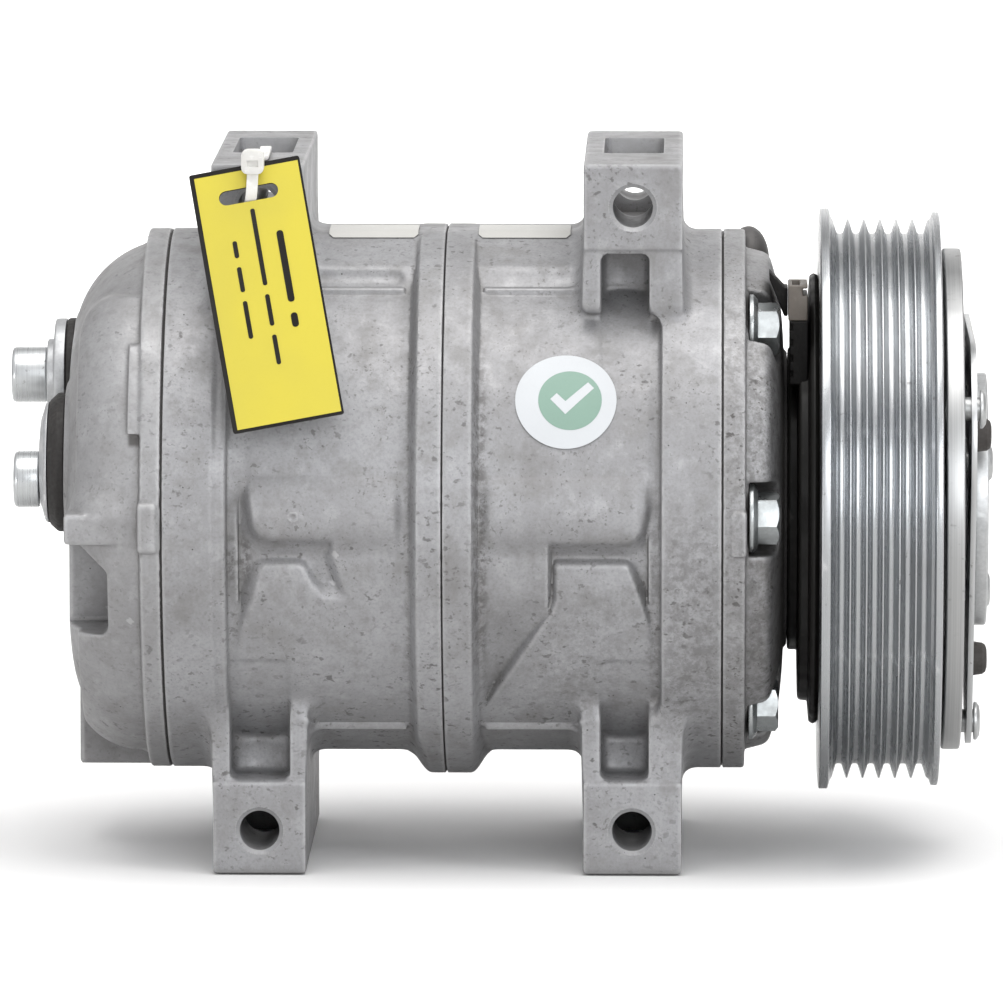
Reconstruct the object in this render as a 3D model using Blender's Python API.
"""Swash-plate air-conditioning compressor with an electromagnetic clutch.

Frame: X is the shaft axis and points out of the clutch (front), Z is up, and the origin is
the centre of the shaft's front end face. The pieces are drawn round a second point on the
axis, in the plane where the two cylinder halves meet, and hang on an empty there.
Dimensions are in millimetres; meshes are written in metres. Angles round the shaft are in
degrees from +Y towards +Z. A side is +1 for the front (+X) and -1 for the rear.
"""
import math

import bmesh
import bpy
from mathutils import Matrix, Vector

for old_object in list(bpy.data.objects):
    bpy.data.objects.remove(old_object, do_unlink=True)

MM = 0.001
SHARP_ANGLE = math.radians(35.0)   # edges bent further than this are shaded sharp

# ---------------------------------------------------------------- shared dimensions
GAP = 0.3                      # clearance between neighbouring pieces
SHAFT_END_X = 118.6            # front end of the shaft
SHAFT_R = 9.0
SHAFT_HOLE_R = 9.7
BEARING_SEAT_R = 14.2

JOINT_X = 60.7                 # end face of each cylinder half
HEAD_X = JOINT_X + GAP         # inner face of each head
HEAD_CUT_X = 60.0              # cuts into a head start here, clear of its face
HEAD_RECESS_R = 56.0           # recess for the valve plate
HEAD_RECESS_X = 63.5

BORE_PITCH_R = 36.5            # five double-acting cylinders
BORE_ANGLES = (145.5, 73.5, 1.5, -70.5, -142.5)
BOLT_PITCH_R = 50.5
BOLT_ANGLES = (126.0, 178.0, 237.0, 325.5, 37.5)
BOLT_HOLE_R = 3.5
BOLT_R = 3.0
BOLT_SEAT_X = 66.6             # underside of the bolt heads


# ---------------------------------------------------------------- materials
def material(name, colour, roughness, metallic):
    made = bpy.data.materials.new(name)
    made.use_nodes = True
    shader = made.node_tree.nodes["Principled BSDF"]
    shader.inputs["Base Color"].default_value = (*colour, 1.0)
    shader.inputs["Roughness"].default_value = roughness
    shader.inputs["Metallic"].default_value = metallic
    made.diffuse_color = (*colour, 1.0)
    return made


CAST_ALUMINIUM = material("cast_aluminium", colour=(0.40, 0.40, 0.41), roughness=0.55, metallic=0.7)
MACHINED_STEEL = material("machined_steel", colour=(0.55, 0.56, 0.57), roughness=0.3, metallic=1.0)
BEARING_STEEL = material("bearing_steel", colour=(0.62, 0.62, 0.63), roughness=0.2, metallic=1.0)
ZINC_STEEL = material("zinc_steel", colour=(0.60, 0.63, 0.64), roughness=0.35, metallic=0.9)
BLACK_RUBBER = material("black_rubber", colour=(0.035, 0.03, 0.028), roughness=0.75, metallic=0.0)
BLACK_ENAMEL = material("black_enamel", colour=(0.012, 0.012, 0.012), roughness=0.4, metallic=0.1)
TAG_YELLOW = material("tag_yellow", colour=(0.80, 0.70, 0.10), roughness=0.5, metallic=0.0)
PISTON_ALUMINIUM = material("piston_aluminium", colour=(0.55, 0.55, 0.56), roughness=0.35,
                            metallic=0.9)


# ---------------------------------------------------------------- outlines
def polar(radius, degrees):
    angle = math.radians(degrees)
    return radius * math.cos(angle), radius * math.sin(angle)


def arc(centre_x, centre_y, radius, start, stop, steps):
    """Points from angle start to angle stop, both included."""
    points = []
    for i in range(steps + 1):
        x, y = polar(radius, start + (stop - start) * i / steps)
        points.append((centre_x + x, centre_y + y))
    return points


def span(*values):
    return tuple(sorted(values))


def facing(side, profile):
    """An (x, r) profile drawn for the front, turned to the given side."""
    return [(side * x, r) for x, r in profile]


def ring_section(x0, x1, inner_r, outer_r):
    return [(x0, inner_r), (x0, outer_r), (x1, outer_r), (x1, inner_r)]


# ---------------------------------------------------------------- mesh shapes
def metres(along, across, up, axis="X"):
    """Vertex position in metres; `along` is measured on axis X or Y, `across` on the other."""
    position = (along, across, up) if axis == "X" else (across, along, up)
    return [value * MM for value in position]


def lathe(bm, profile, segments, centre=(0.0, 0.0), turn=0.0, closed=False, axis="X"):
    """Adds the solid that a profile of (distance along the axis, radius) points sweeps.
    An open profile starts and ends on the axis; a closed one makes a ring.
    `turn` shifts the vertices by a fraction of a segment."""
    rings = []
    for along, radius in profile:
        if radius <= 1e-9:
            rings.append([bm.verts.new(metres(along, *centre, axis))])
            continue
        ring_verts = []
        for i in range(segments):
            angle = 2 * math.pi * (i + turn) / segments
            across = centre[0] + radius * math.cos(angle)
            up = centre[1] + radius * math.sin(angle)
            ring_verts.append(bm.verts.new(metres(along, across, up, axis)))
        rings.append(ring_verts)
    pairs = list(zip(rings, rings[1:]))
    if closed:
        pairs.append((rings[-1], rings[0]))
    for a, b in pairs:
        for i in range(segments):
            j = (i + 1) % segments
            quad = [a[i % len(a)], a[j % len(a)], b[j % len(b)], b[i % len(b)]]
            # at a pole two corners coincide, which leaves a triangle
            bm.faces.new(list(dict.fromkeys(quad)))


def rod(bm, x0, x1, radius, segments, centre=(0.0, 0.0), turn=0.0):
    lathe(bm, [(x0, 0), (x0, radius), (x1, radius), (x1, 0)], segments, centre, turn)


def sphere(bm, x, radius, segments, rings, turn=0.0):
    profile = [(x - radius * math.cos(math.pi * i / rings), radius * math.sin(math.pi * i / rings))
               for i in range(rings + 1)]
    lathe(bm, profile, segments, turn=turn)


def box(bm, x_range, y_range, z_range):
    verts = [bm.verts.new(metres(x, y, z)) for x in x_range for y in y_range for z in z_range]
    for face in ((0, 1, 3, 2), (4, 6, 7, 5), (0, 4, 5, 1),
                 (2, 3, 7, 6), (0, 2, 6, 4), (1, 5, 7, 3)):
        bm.faces.new([verts[i] for i in face])


def loft(bm, first, second):
    """Adds the solid between two matching loops of points, given in metres."""
    a = [bm.verts.new(point) for point in first]
    b = [bm.verts.new(point) for point in second]
    bm.faces.new(a)
    bm.faces.new(list(reversed(b)))
    for i in range(len(a)):
        j = (i + 1) % len(a)
        bm.faces.new((a[i], b[i], b[j], a[j]))


def prism(bm, outline, low, high, axis):
    """Extrudes an outline along Y (outline in x, z) or along X (outline in y, z)."""
    loft(bm, *([metres(along, *point, axis) for point in outline] for along in (low, high)))


def bolt_holes(bm, x0, x1):
    for angle in BOLT_ANGLES:
        rod(bm, x0, x1, BOLT_HOLE_R, 10, polar(BOLT_PITCH_R, angle))


# ---------------------------------------------------------------- objects
def new_object(name, data, parent, location=(0, 0, 0), rotation=(0, 0, 0)):
    made = bpy.data.objects.new(name, data)
    bpy.context.scene.collection.objects.link(made)
    made.location = location
    made.rotation_euler = rotation
    made.parent = parent
    return made


def axis_empty(name, x, parent=None):
    empty = new_object(name, None, parent, (x * MM, 0, 0))
    empty.empty_display_size = 0.01
    return empty


def filled_mesh(name, fill):
    """Mesh drawn by fill, a function that adds solids to a bmesh."""
    bm = bmesh.new()
    fill(bm)
    bmesh.ops.recalc_face_normals(bm, faces=bm.faces)
    mesh = bpy.data.meshes.new(name)
    bm.to_mesh(mesh)
    bm.free()
    return mesh


def solid(name, fill, mat, parent, joins=(), cuts=(), **placing):
    """Object with one boolean modifier per join and cut; the hidden tools share its placing."""
    mesh = filled_mesh(name, fill)
    mesh.materials.append(mat)
    mesh.shade_smooth()
    mesh.set_sharp_from_angle(angle=SHARP_ANGLE)
    made = new_object(name, mesh, parent, **placing)
    for kind, operation, fills in (("join", "UNION", joins), ("cut", "DIFFERENCE", cuts)):
        for i, tool_fill in enumerate(fills):
            tool_name = f"{name}.{kind}{i}"
            tool = new_object(tool_name, filled_mesh(tool_name, tool_fill), parent, **placing)
            tool.hide_render = True
            tool.display_type = "WIRE"
            modifier = made.modifiers.new(tool_name, "BOOLEAN")
            modifier.operation = operation
            modifier.solver = "EXACT"
            modifier.object = tool


def turned(name, profile, segments, mat, parent, centre=(0.0, 0.0), closed=False, cuts=()):
    """A solid whose body is a single lathed profile."""
    solid(name, lambda bm: lathe(bm, profile, segments, centre, closed=closed), mat, parent,
          cuts=cuts)


def ring(name, profile, segments, mat, parent):
    turned(name, profile, segments, mat, parent, closed=True)


# ---------------------------------------------------------------- cylinder halves
PART_GAP = 0.15                # each half stops this far from the parting plane
CASE_R = 56.6                  # plain casting between the collars
COLLAR_R = 59.7
COLLAR_CHAMFER = 0.6
RIB_R = 61.0                   # rib round the parting plane
CHAMBER_R = 52.0               # swash chamber
CHAMBER_X = 21.5
BEARING_SEAT_X = 38.0
BORE_R = 15.15
BORE_SEGMENTS = 16
BORE_START_X = 20.0            # inside the chamber, so the cuts overlap
HALF_CUT_X = 62.0              # cuts leave a half here, clear of its end face
PASSAGE_R = 3.5
PASSAGE_PITCH_R = 44.0
PASSAGE_ANGLES = (106.0, 257.0)

LUG_Y = 42.0                   # half length of a lug
LUG_Z = 78.0
LUG_ROOT_Z = 45.0
LUG_FLARE = 4.0                # extra width on each side at the root
LUG_FILLET_R = 5.0
LUG_FILLET_Z = 58.0
LUG_HOLE_Z = 68.7
LUG_HOLE_R = 4.45
LUG_CHAMFER_R = 5.5
LUG_HOLE_OVERRUN = 1.0         # the hole's chamfer cone runs on this far past the lug
LUG_NOTCH_HALF = 6.5           # notch in the outer edge: half width, y range, z range
LUG_NOTCH_Y = (-14.3, 22.7)
LUG_NOTCH_Z = (61.5, 79.0)
LUG_RECESS_HALF = 5.3          # recess at each root end: half width, y range, z range
LUG_RECESS_Y = (28.0, 43.0)
LUG_RECESS_Z = (46.5, 58.3)

TOP_PAD = [(-14.0, 50.0), (14.0, 50.0), (14.0, 58.9),          # y, z
           (10.5, 60.2), (-10.5, 60.2), (-14.0, 58.9)]
TOP_PAD_START_X = 0.4

# rib_x, collar_x and pad_x are distances from the parting plane; lug_x is a position
REAR_HALF = dict(side=-1, rib_x=5.4, collar_x=49.5, pad_x=27.5, lug_x=-40.3, lug_width=20.3)
FRONT_HALF = dict(side=1, rib_x=6.1, collar_x=47.5, pad_x=29.0, lug_x=41.2, lug_width=21.5)


def lug_body(bm, x, width, up):
    """Lug above (up 1) or below (up -1) the axis: a straight block flared into the casting."""
    low, high = x - width / 2, x + width / 2
    outline = [(low, LUG_Z),
               *arc(low - LUG_FILLET_R, LUG_FILLET_Z, LUG_FILLET_R, 0, -70, 3),
               (low - LUG_FLARE, LUG_ROOT_Z),
               (high + LUG_FLARE, LUG_ROOT_Z),
               *arc(high + LUG_FILLET_R, LUG_FILLET_Z, LUG_FILLET_R, 250, 180, 3),
               (high, LUG_Z)]
    prism(bm, [(px, up * pz) for px, pz in outline], -LUG_Y, LUG_Y, "Y")


def lug_hole(bm, x, up):
    """Through-bolt hole along Y with a chamfer at each mouth."""
    end_y = LUG_Y + LUG_HOLE_OVERRUN
    end_r = LUG_CHAMFER_R + LUG_HOLE_OVERRUN
    inner_y = LUG_Y - LUG_CHAMFER_R + LUG_HOLE_R
    profile = [(-end_y, 0), (-end_y, end_r), (-inner_y, LUG_HOLE_R),
               (inner_y, LUG_HOLE_R), (end_y, end_r), (end_y, 0)]
    lathe(bm, profile, 14, (x, up * LUG_HOLE_Z), axis="Y")


def cylinder_half(name, parent, side, rib_x, collar_x, pad_x, lug_x, lug_width):
    def casting(bm):
        profile = [(PART_GAP, 0), (PART_GAP, RIB_R), (rib_x, RIB_R), (rib_x + 1.8, CASE_R),
                   (collar_x - 1.0, CASE_R), (collar_x, COLLAR_R),
                   (JOINT_X - COLLAR_CHAMFER, COLLAR_R), (JOINT_X, COLLAR_R - COLLAR_CHAMFER),
                   (JOINT_X, 0)]
        lathe(bm, facing(side, profile), 32)

    def lugs(bm):
        for up in (1, -1):
            lug_body(bm, lug_x, lug_width, up)

    def top_pad(bm):
        prism(bm, TOP_PAD, *span(side * TOP_PAD_START_X, side * pad_x), "X")

    def chamber(bm):
        profile = [(-1, 0), (-1, CHAMBER_R), (CHAMBER_X, CHAMBER_R), (CHAMBER_X, SHAFT_HOLE_R),
                   (BEARING_SEAT_X, SHAFT_HOLE_R), (BEARING_SEAT_X, BEARING_SEAT_R),
                   (HALF_CUT_X, BEARING_SEAT_R), (HALF_CUT_X, 0)]
        lathe(bm, facing(side, profile), 28, turn=0.37)

    def bores(bm):
        ends = side * BORE_START_X, side * HALF_CUT_X
        for angle in BORE_ANGLES:
            rod(bm, *ends, BORE_R, BORE_SEGMENTS, polar(BORE_PITCH_R, angle),
                angle / 360 * BORE_SEGMENTS)
        for angle in PASSAGE_ANGLES:
            rod(bm, *ends, PASSAGE_R, 8, polar(PASSAGE_PITCH_R, angle))

    def bolts(bm):
        bolt_holes(bm, -side * 1.0, side * 63.0)

    def lug_holes(bm):
        for up in (1, -1):
            lug_hole(bm, lug_x, up)

    def lug_pockets(bm):
        for up in (1, -1):
            box(bm, (lug_x - LUG_NOTCH_HALF, lug_x + LUG_NOTCH_HALF), LUG_NOTCH_Y,
                span(*(up * z for z in LUG_NOTCH_Z)))
            for end in (-1, 1):
                box(bm, (lug_x - LUG_RECESS_HALF, lug_x + LUG_RECESS_HALF),
                    span(*(end * y for y in LUG_RECESS_Y)),
                    span(*(up * z for z in LUG_RECESS_Z)))

    solid(name, casting, CAST_ALUMINIUM, parent, [lugs, top_pad],
          [chamber, bores, bolts, lug_holes, lug_pockets])


# ---------------------------------------------------------------- heads and valve plates
REAR_HEAD_R = 60.0
DOME_X, DOME_CENTRE_R, DOME_R = -66.6, 39.7, 16.0    # rounded rear edge
REAR_FACE_X = DOME_X - DOME_R
PORT_LOW = (-20.0, 10.1)                             # port centres and holes: y, z
PORT_LOW_BOLT = (-20.0, 6.3)
PORT_LOW_HOLE = (-27.0, 14.0)
PORT_HIGH = (15.0, 25.6)
PORT_HIGH_HOLE = (11.5, 18.3)
PORT_THREAD_R = 3.5
PORT_CUT_X = -85.0             # port cuts end here, clear of the bosses

NOSE_R = 15.0
NOSE_X = 104.0
FRONT_HEAD_PROFILE = [         # x, r
    (HEAD_X, 0), (HEAD_X, 59.7), (65.7, 59.7), (66.4, 55.4), (71.2, 54.2), (72.6, 51.5),
    (73.4, 46.5), (74.2, 42.0), (74.6, 33.0), (74.6, NOSE_R), (NOSE_X, NOSE_R), (NOSE_X, 0)]
BOLT_POCKET_R = 8.4
BOLT_POCKET_OUT = 14.0         # reach of a pocket beyond its bolt, past the head's edge


def rear_head(parent):
    def casting(bm):
        lathe(bm, [(-HEAD_X, 0), (-HEAD_X, REAR_HEAD_R), (-66.0, REAR_HEAD_R),
                   *arc(DOME_X, DOME_CENTRE_R, DOME_R, 90, 180, 5), (REAR_FACE_X, 0)], 32)

    def upper_boss(bm):
        rod(bm, -70.0, -82.8, 14.0, 20, PORT_HIGH)
        box(bm, (-82.0, -63.0), (-55.5, -38.5), (-4.4, 2.4))

    def lower_boss(bm):
        rod(bm, -70.0, -82.95, 17.0, 22, PORT_LOW)
        box(bm, (-65.8, -61.8), (-60.6, -45.0), (-5.0, 5.6))

    def foot(bm):
        box(bm, (-81.5, -63.5), (2.0, 28.0), (-58.8, -35.0))

    def plenum(bm):
        lathe(bm, [(-HEAD_CUT_X, 0), (-HEAD_CUT_X, HEAD_RECESS_R), (-HEAD_RECESS_X, HEAD_RECESS_R),
                   (-HEAD_RECESS_X, 21.0), (-76.0, 21.0), (-76.0, 0)], 28, turn=0.37)

    def outer_plenum(bm):
        lathe(bm, ring_section(-63.0, -76.0, 24.5, 46.0), 28, turn=0.11, closed=True)

    def bolts(bm):
        bolt_holes(bm, -HEAD_CUT_X, -70.5)

    def ports(bm):
        rod(bm, -75.0, PORT_CUT_X, 6.0, 12, PORT_LOW_HOLE, 0.2)
        rod(bm, -75.0, PORT_CUT_X, 3.4, 10, PORT_HIGH_HOLE, 0.2)

    def port_threads(bm):
        for centre in (PORT_LOW_BOLT, PORT_HIGH):
            rod(bm, -78.6, PORT_CUT_X, PORT_THREAD_R, 10, centre, 0.3)

    solid("rear_head", casting, CAST_ALUMINIUM, parent, [upper_boss, lower_boss, foot],
          [plenum, outer_plenum, bolts, ports, port_threads])


def front_head(parent):
    def casting(bm):
        lathe(bm, FRONT_HEAD_PROFILE, 32)

    def shaft_hole(bm):
        lathe(bm, [(HEAD_CUT_X, 0), (HEAD_CUT_X, HEAD_RECESS_R), (HEAD_RECESS_X, HEAD_RECESS_R),
                   (HEAD_RECESS_X, BEARING_SEAT_R), (71.0, BEARING_SEAT_R), (71.0, SHAFT_HOLE_R),
                   (NOSE_X + 2.0, SHAFT_HOLE_R), (NOSE_X + 2.0, 0)], 28, turn=0.37)

    def plenum(bm):
        lathe(bm, ring_section(63.0, 70.0, 18.5, 40.0), 28, turn=0.11, closed=True)

    def bolts(bm):
        bolt_holes(bm, HEAD_CUT_X, 68.0)

    def bolt_pockets(bm):
        """Open-sided recess round each bolt head."""
        points = [(BOLT_POCKET_OUT, -BOLT_POCKET_R), (BOLT_POCKET_OUT, BOLT_POCKET_R),
                  *arc(0, 0, BOLT_POCKET_R, 90, 270, 6)]
        for angle in BOLT_ANGLES:
            centre = Vector(polar(BOLT_PITCH_R, angle))
            out = centre.normalized()
            across = Vector((-out.y, out.x))
            outline = [tuple(centre + out * p + across * q) for p, q in points]
            prism(bm, outline, BOLT_SEAT_X - GAP, 80.0, "X")

    solid("front_head", casting, CAST_ALUMINIUM, parent, [],
          [shaft_hole, plenum, bolts, bolt_pockets])


def valve_plate(name, side, centre_hole_r, parent):
    """Thin plate between a cylinder half and its head, with two small holes per cylinder."""
    def disc(bm):
        rod(bm, side * HEAD_X, side * 63.2, 55.4, 30)

    def holes(bm):
        ends = side * HEAD_CUT_X, side * 65.0
        bolt_holes(bm, *ends)
        for angle in BORE_ANGLES:
            rod(bm, *ends, 3.4, 6, polar(BORE_PITCH_R + 5.0, angle + 7.0))
            rod(bm, *ends, 2.6, 6, polar(BORE_PITCH_R - 8.0, angle - 6.0))
        rod(bm, *ends, centre_hole_r, 12)

    solid(name, disc, MACHINED_STEEL, parent, cuts=[holes])


def through_bolt(name, angle, parent):
    """Round-headed flange bolt that clamps heads and halves; its head is at the clutch end."""
    profile = [(-70.0, 0), (-70.0, BOLT_R), (BOLT_SEAT_X, BOLT_R), (BOLT_SEAT_X, 7.5),
               (67.6, 7.6), (68.7, 5.9), (72.4, 5.7), (73.0, 5.1), (73.0, 0)]
    turned(name, profile, 12, ZINC_STEEL, parent, polar(BOLT_PITCH_R, angle))


# ---------------------------------------------------------------- port covers on the rear head
PORT_BOLT_HOLE_R = 3.4
PORT_BOLT_R = 2.9
PORT_BOLT_HEAD_R = 6.2


def port_hole(x0, x1, bolt):
    """Cut for a bolt, 1 mm longer at each end than the piece between x0 and x1."""
    return lambda bm: rod(bm, x0 + 1.0, x1 - 1.0, PORT_BOLT_HOLE_R, 10, bolt)


def port_gasket(name, centre, bolt, radius, x0, x1, parent):
    profile = [(x0, 0), (x0, radius), (x1, radius - 0.4), (x1, 0)]
    turned(name, profile, 20, BLACK_RUBBER, parent, centre, cuts=[port_hole(x0, x1, bolt)])


def port_cover(name, centre, bolt, radius, x0, x1, lip, parent, boss_r=0.0, boss_height=0.0):
    """Disc with a bolt hole; a cover with a boss carries its bolt head on a raised seat."""
    seat_x = x1 - boss_height
    boss = [(x1, boss_r), (seat_x, boss_r)] if boss_r else []
    profile = [(x0, 0), (x0, radius), (x1 + lip, radius), (x1, radius - 0.8), *boss, (seat_x, 0)]
    turned(name, profile, 24, ZINC_STEEL, parent, centre, cuts=[port_hole(x0, seat_x, bolt)])


def port_bolt(name, centre, seat_x, head_height, parent):
    top_x = seat_x - head_height
    profile = [(-78.9, 0), (-78.9, PORT_BOLT_R), (seat_x, PORT_BOLT_R),
               (seat_x, PORT_BOLT_HEAD_R), (top_x + 0.5, PORT_BOLT_HEAD_R),
               (top_x, PORT_BOLT_HEAD_R - 0.6), (top_x, 0)]
    turned(name, profile, 16, ZINC_STEEL, parent, centre)


def ports(parent):
    port_gasket("lower_port_gasket", PORT_LOW, PORT_LOW_BOLT,
                radius=15.3, x0=-83.25, x1=-86.9, parent=parent)
    port_cover("lower_port_cover", PORT_LOW, PORT_LOW_BOLT,
               radius=13.3, x0=-87.2, x1=-89.1, lip=0.6, parent=parent)
    port_bolt("lower_port_bolt", PORT_LOW_BOLT, seat_x=-89.4, head_height=5.5, parent=parent)
    port_gasket("upper_port_gasket", PORT_HIGH, PORT_HIGH,
                radius=12.6, x0=-83.1, x1=-85.0, parent=parent)
    port_cover("upper_port_cover", PORT_HIGH, PORT_HIGH, radius=12.6, x0=-85.3, x1=-87.9,
               lip=0.5, parent=parent, boss_r=8.0, boss_height=1.5)
    port_bolt("upper_port_bolt", PORT_HIGH, seat_x=-89.7, head_height=7.7, parent=parent)


# ---------------------------------------------------------------- swash drive
TILT = math.radians(15.0)
TILT_DIRECTION = 90.0          # the plate's rise points this way at rest
PLATE_R = 45.0
PLATE_HALF = 6.0
PLATE_CHAMFER = 0.6
PLATE_HUB_R = 14.0
PLATE_HUB_HALF = 17.0
BALL_R = 5.0
BALL_H = 12.6                  # ball centre above the plate's middle plane
BALL_X = BALL_H / math.cos(TILT)   # the same distance measured along the shaft
BALL_PATH_R = 2 * BORE_PITCH_R / (1 + math.cos(TILT))   # circle of the balls, in the plate
SHOE_R = 8.0
SHOE_LOW = PLATE_HALF + GAP    # shoe faces above the plate's middle plane
SHOE_HIGH = 10.3
FRONT_DISH_R = 5.7
REAR_DISH_R = 6.25
PISTON_R = 14.8
PISTON_HALF = 50.8
SLOT_HALF = 13.3
SLOT_OUT = 9.3                 # bridge starts this far outside the piston axis


def plate_directions():
    """The plate's normal, its rise and the in-plane direction across the rise."""
    up = Vector((0.0, *polar(1.0, TILT_DIRECTION)))
    ahead = Vector((1.0, 0.0, 0.0))
    normal = ahead * math.cos(TILT) - up * math.sin(TILT)
    rise = ahead * math.sin(TILT) + up * math.cos(TILT)
    return normal, rise, ahead.cross(up)


def plate_rotation():
    return Matrix(plate_directions()).transposed().to_4x4()


def shoe_ball_centre(angle, side):
    """Centre of a ball that follows its shoe round the plate's in-plane circle."""
    _, rise, across = plate_directions()
    phase = math.radians(angle - TILT_DIRECTION)
    in_plane = rise * math.cos(phase) + across * math.sin(phase)
    return Vector((side * BALL_X, 0, 0)) + BALL_PATH_R * in_plane


def piston_ball_centre(angle, side):
    """The same centre moved square to the shaft, onto the piston's axis."""
    return Vector((shoe_ball_centre(angle, side).x, *polar(BORE_PITCH_R, angle)))


def swash_plate(parent):
    def plate(bm):
        edge_x, edge_r = PLATE_HALF - PLATE_CHAMFER, PLATE_R - PLATE_CHAMFER
        lathe(bm, [(-PLATE_HALF, 0), (-PLATE_HALF, edge_r), (-edge_x, PLATE_R),
                   (edge_x, PLATE_R), (PLATE_HALF, edge_r), (PLATE_HALF, 0)], 32)
        bmesh.ops.transform(bm, matrix=plate_rotation(), verts=bm.verts)

    def hub_barrel(bm):
        rod(bm, -PLATE_HUB_HALF, PLATE_HUB_HALF, PLATE_HUB_R, 20, turn=0.3)

    def shaft_bore(bm):
        rod(bm, -PLATE_HUB_HALF - 2, PLATE_HUB_HALF + 2, SHAFT_R + 0.35, 20)

    solid("swash_plate", plate, BEARING_STEEL, parent, [hub_barrel], [shaft_bore])


def shaft(parent):
    profile = [(-58.0, 0), (-58.0, SHAFT_R - 0.8), (-57.2, SHAFT_R), (73.0, SHAFT_R),
               (73.6, 8.0), (109.0, 8.0), (109.6, 4.1), (SHAFT_END_X - 0.6, 4.1),
               (SHAFT_END_X, 3.5), (SHAFT_END_X, 0)]
    turned("shaft", profile, 20, MACHINED_STEEL, parent)


def piston(name, angle, parent):
    """Double-headed piston along its own X; its +Y points away from the shaft."""
    def barrel(bm):
        rod(bm, -PISTON_HALF, PISTON_HALF, PISTON_R, 16)

    def slot(bm):
        box(bm, (-SLOT_HALF, SLOT_HALF), (-20.0, SLOT_OUT), (-20.0, 20.0))

    def front_socket(bm):
        sphere(bm, BALL_X, 6.6, 10, 4, turn=0.25)

    def rear_socket(bm):
        sphere(bm, -BALL_X, 6.0, 10, 4, turn=0.25)

    stroke = BALL_PATH_R * math.sin(TILT) * math.cos(math.radians(angle - TILT_DIRECTION))
    solid(name, barrel, PISTON_ALUMINIUM, parent, cuts=[slot, front_socket, rear_socket],
          location=Vector((stroke, *polar(BORE_PITCH_R, angle))) * MM,
          rotation=(math.radians(angle), 0, 0))


def ball(name, centre, parent):
    solid(name, lambda bm: sphere(bm, 0.0, BALL_R, 8, 5), BEARING_STEEL, parent,
          location=centre * MM)


def shoe(name, angle, side, dish_r, parent):
    """Flat disc that slides on the plate, dished for its ball.
    Its own X is the plate's normal and its origin is the ball's centre."""
    base = SHOE_LOW - BALL_H
    top = SHOE_HIGH - BALL_H
    middle = -4.3              # a step down the dish wall
    floor = base + 0.8
    profile = [(base, 0), (base, SHOE_R - 0.5), (base + 0.5, SHOE_R), (top - 0.6, SHOE_R),
               (top, SHOE_R - 0.6), (top, math.sqrt(dish_r ** 2 - top ** 2)),
               (middle, math.sqrt(dish_r ** 2 - middle ** 2)), (floor, 2.0), (floor, 0)]
    solid(name, lambda bm: lathe(bm, facing(side, profile), 12), BEARING_STEEL, parent,
          location=shoe_ball_centre(angle, side) * MM, rotation=plate_rotation().to_euler())


def shaft_bearings(parent):
    radial = ring_section(40.0, 56.0, 9.4, 13.7)
    thrust = ring_section(PLATE_HUB_HALF + GAP, CHAMBER_X - GAP, 9.5, 16.0)
    for name, side in (("front", 1), ("rear", -1)):
        ring(f"{name}_radial_bearing", facing(side, radial), 20, BEARING_STEEL, parent)
        ring(f"{name}_thrust_bearing", facing(side, thrust), 20, BEARING_STEEL, parent)


def shaft_seal(parent):
    profile = [(64.5, 9.5), (64.5, 13.6), (70.5, 13.6), (70.5, 11.5), (69.0, 9.5)]
    ring("shaft_seal", profile, 20, BLACK_RUBBER, parent)


# ---------------------------------------------------------------- clutch
PULLEY_AXIS_X = 90.0           # pulley's empty, from the parting plane
PULLEY_BACK_X = 81.9
PULLEY_FACE_X = 108.6
PULLEY_R = 64.3
PULLEY_BORE_R = 26.4
GROOVE_PITCH = 3.56
GROOVE_FIRST_X = 86.7
GROOVES = 6
GROOVE_TOP_R = 61.9
GROOVE_ROOT_R = 58.8
ARMATURE_R = 55.5
HUB_ANGLES = (30.0, 150.0, 270.0)
STOP_PITCH_R = 35.7
SPRING_CORNER_R = 22.0
SPRING_CORNER_PITCH_R = 32.5

COIL_PROFILE = [               # x, r
    (75.2, 16.0), (75.2, 34.0), (77.4, 34.0), (77.4, 44.8), (79.4, 44.8), (79.7, 49.3),
    (81.6, 50.0), (81.9, 49.3), (99.5, 49.3), (99.5, 33.5), (79.2, 33.5), (79.2, 16.0)]
BEARING_PROFILE = [            # x, r
    (84.0, 15.5), (84.0, 25.4), (84.5, 25.9), (99.5, 25.9), (100.0, 25.4), (100.0, 15.5)]
ARMATURE_PROFILE = [           # x, r
    (109.4, 22.0), (109.4, 55.0), (109.9, ARMATURE_R), (112.9, ARMATURE_R), (113.4, 55.0),
    (113.4, 22.0)]
HUB_PROFILE = [                # x, r
    (104.6, 8.4), (104.6, 13.5), (116.6, 13.5), (116.6, 28.0), (119.2, 28.0), (119.2, 10.0),
    (113.0, 10.0), (113.0, 4.6), (110.2, 4.6), (110.2, 8.4)]


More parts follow.
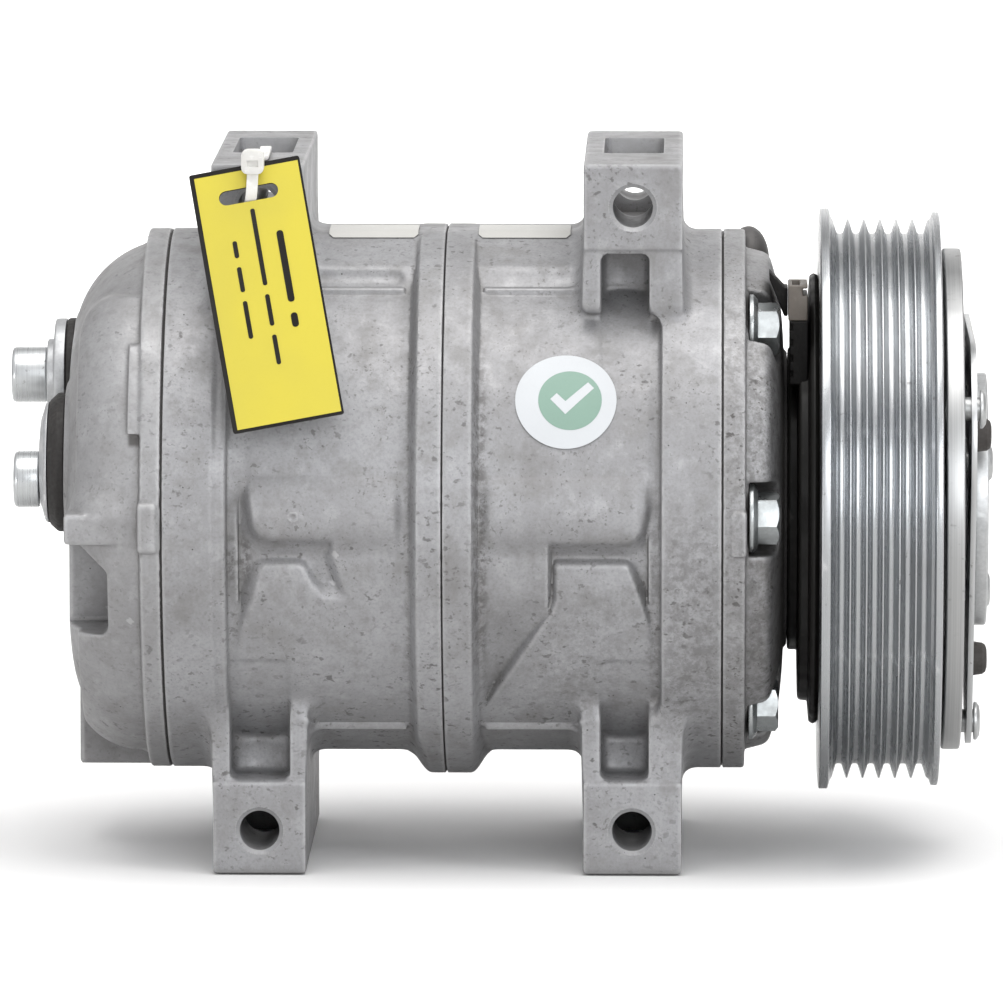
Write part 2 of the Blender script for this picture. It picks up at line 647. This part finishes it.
def pulley(parent):
    grooves = []
    for i in range(GROOVES):
        x = GROOVE_FIRST_X + i * GROOVE_PITCH
        if i:
            grooves.append((x - GROOVE_PITCH / 2, GROOVE_TOP_R))
        grooves.append((x, GROOVE_ROOT_R))
    profile = [(PULLEY_BACK_X, PULLEY_R - 0.5), (PULLEY_BACK_X + 0.5, PULLEY_R),
               (84.1, PULLEY_R), (84.6, GROOVE_TOP_R), *grooves, (106.2, GROOVE_TOP_R),
               (107.0, 63.5), (PULLEY_FACE_X, 63.5), (PULLEY_FACE_X, PULLEY_BORE_R),
               (82.5, PULLEY_BORE_R), (82.5, 31.0), (102.0, 31.0), (102.0, 52.0),
               (PULLEY_BACK_X, 52.0)]
    ring("pulley", profile, 32, MACHINED_STEEL, parent)
    # its mesh is drawn from the parting plane, not from its own empty
    undo_offset = Matrix.Translation((-PULLEY_AXIS_X * MM, 0, 0))
    bpy.data.objects["pulley"].matrix_parent_inverse = undo_offset


def clutch_coil(parent):
    def body(bm):
        lathe(bm, COIL_PROFILE, 28, closed=True)

    def connector(bm):
        box(bm, (75.5, 79.0), (-33.0, -18.0), (30.0, 51.0))

    solid("clutch_coil", body, BLACK_ENAMEL, parent, [connector])


def leaf_spring(parent):
    """Flat spring between hub and armature plate: a triangle with broad round corners."""
    outline = []
    for angle in HUB_ANGLES:
        outline += arc(*polar(SPRING_CORNER_PITCH_R, angle), SPRING_CORNER_R,
                       angle - 60.0, angle + 60.0, 8)
    solid("leaf_spring", lambda bm: prism(bm, outline, 114.8, 116.1, "X"), MACHINED_STEEL, parent,
          cuts=[lambda bm: rod(bm, 114.0, 117.0, 14.2, 18)])


def rubber_stop(name, angle, parent):
    profile = [(116.4, 0), (116.4, 3.7), (118.9, 3.7), (119.6, 2.9), (119.6, 0)]
    turned(name, profile, 10, BLACK_RUBBER, parent, polar(STOP_PITCH_R, angle))


def hub_nut(parent):
    solid("hub_nut", lambda bm: rod(bm, 113.3, 119.0, 7.8, 6), ZINC_STEEL, parent,
          cuts=[lambda bm: rod(bm, 112.0, 120.0, 4.5, 12)])


# ---------------------------------------------------------------- hang tag
TAG_CORNERS = [(-55.0, -47.5, 75.8), (-31.1, -47.5, 80.3),
               (-19.8, -64.0, 26.3), (-43.6, -64.0, 21.7)]
TAG_HALF_THICKNESS = 0.5
TAG_SLOT_DOWN = 5.5            # slot centre below the top edge
TAG_SLOT_HALF = (6.5, 1.6)     # half length, half height
TAG_SLOT_REACH = 2.5           # half depth of the cut, through the card


def hang_tag(parent):
    """Thin slanting card with a slot, at the -Y end of the rear upper lug."""
    corners = [Vector(corner) for corner in TAG_CORNERS]
    along = (corners[1] - corners[0]).normalized()
    down = (corners[3] - corners[0]).normalized()
    normal = (corners[1] - corners[0]).cross(corners[3] - corners[0]).normalized()
    slot_centre = (corners[0] + corners[1]) / 2 + down * TAG_SLOT_DOWN

    def card(bm):
        offset = normal * TAG_HALF_THICKNESS
        loft(bm, [(c + offset) * MM for c in corners], [(c - offset) * MM for c in corners])

    def slot(bm):
        length, height = TAG_SLOT_HALF
        loft(bm, *([(slot_centre + normal * reach + along * p * length + down * q * height) * MM
                    for p, q in ((-1, -1), (1, -1), (1, 1), (-1, 1))]
                   for reach in (-TAG_SLOT_REACH, TAG_SLOT_REACH)))

    solid("hang_tag", card, TAG_YELLOW, parent, cuts=[slot])


# ---------------------------------------------------------------- assembly
def build():
    housing = axis_empty("housing_frame", -SHAFT_END_X)
    drive = axis_empty("shaft_axis", 0, housing)
    belt = axis_empty("pulley_axis", PULLEY_AXIS_X, housing)

    cylinder_half("rear_cylinder", housing, **REAR_HALF)
    cylinder_half("front_cylinder", housing, **FRONT_HALF)
    rear_head(housing)
    front_head(housing)
    valve_plate("rear_valve_plate", -1, centre_hole_r=5.0, parent=housing)
    valve_plate("front_valve_plate", 1, centre_hole_r=9.8, parent=housing)
    for i, angle in enumerate(BOLT_ANGLES, 1):
        through_bolt(f"through_bolt_{i}", angle, housing)
    ports(housing)

    shaft(drive)
    swash_plate(drive)
    for i, angle in enumerate(BORE_ANGLES, 1):
        piston(f"piston_{i}", angle, housing)
        ball(f"ball_front_{i}", shoe_ball_centre(angle, 1), housing)
        ball(f"ball_rear_{i}", piston_ball_centre(angle, -1), housing)
        shoe(f"shoe_front_{i}", angle, 1, FRONT_DISH_R, drive)
        shoe(f"shoe_rear_{i}", angle, -1, REAR_DISH_R, drive)
    shaft_bearings(housing)
    shaft_seal(housing)

    clutch_coil(housing)
    ring("pulley_bearing", BEARING_PROFILE, 24, BEARING_STEEL, housing)
    pulley(belt)
    ring("armature_plate", ARMATURE_PROFILE, 32, MACHINED_STEEL, drive)
    ring("hub", HUB_PROFILE, 24, ZINC_STEEL, drive)
    leaf_spring(drive)
    for i, angle in enumerate(HUB_ANGLES, 1):
        rubber_stop(f"rubber_stop_{i}", angle, drive)
    hub_nut(drive)
    hang_tag(housing)


build()
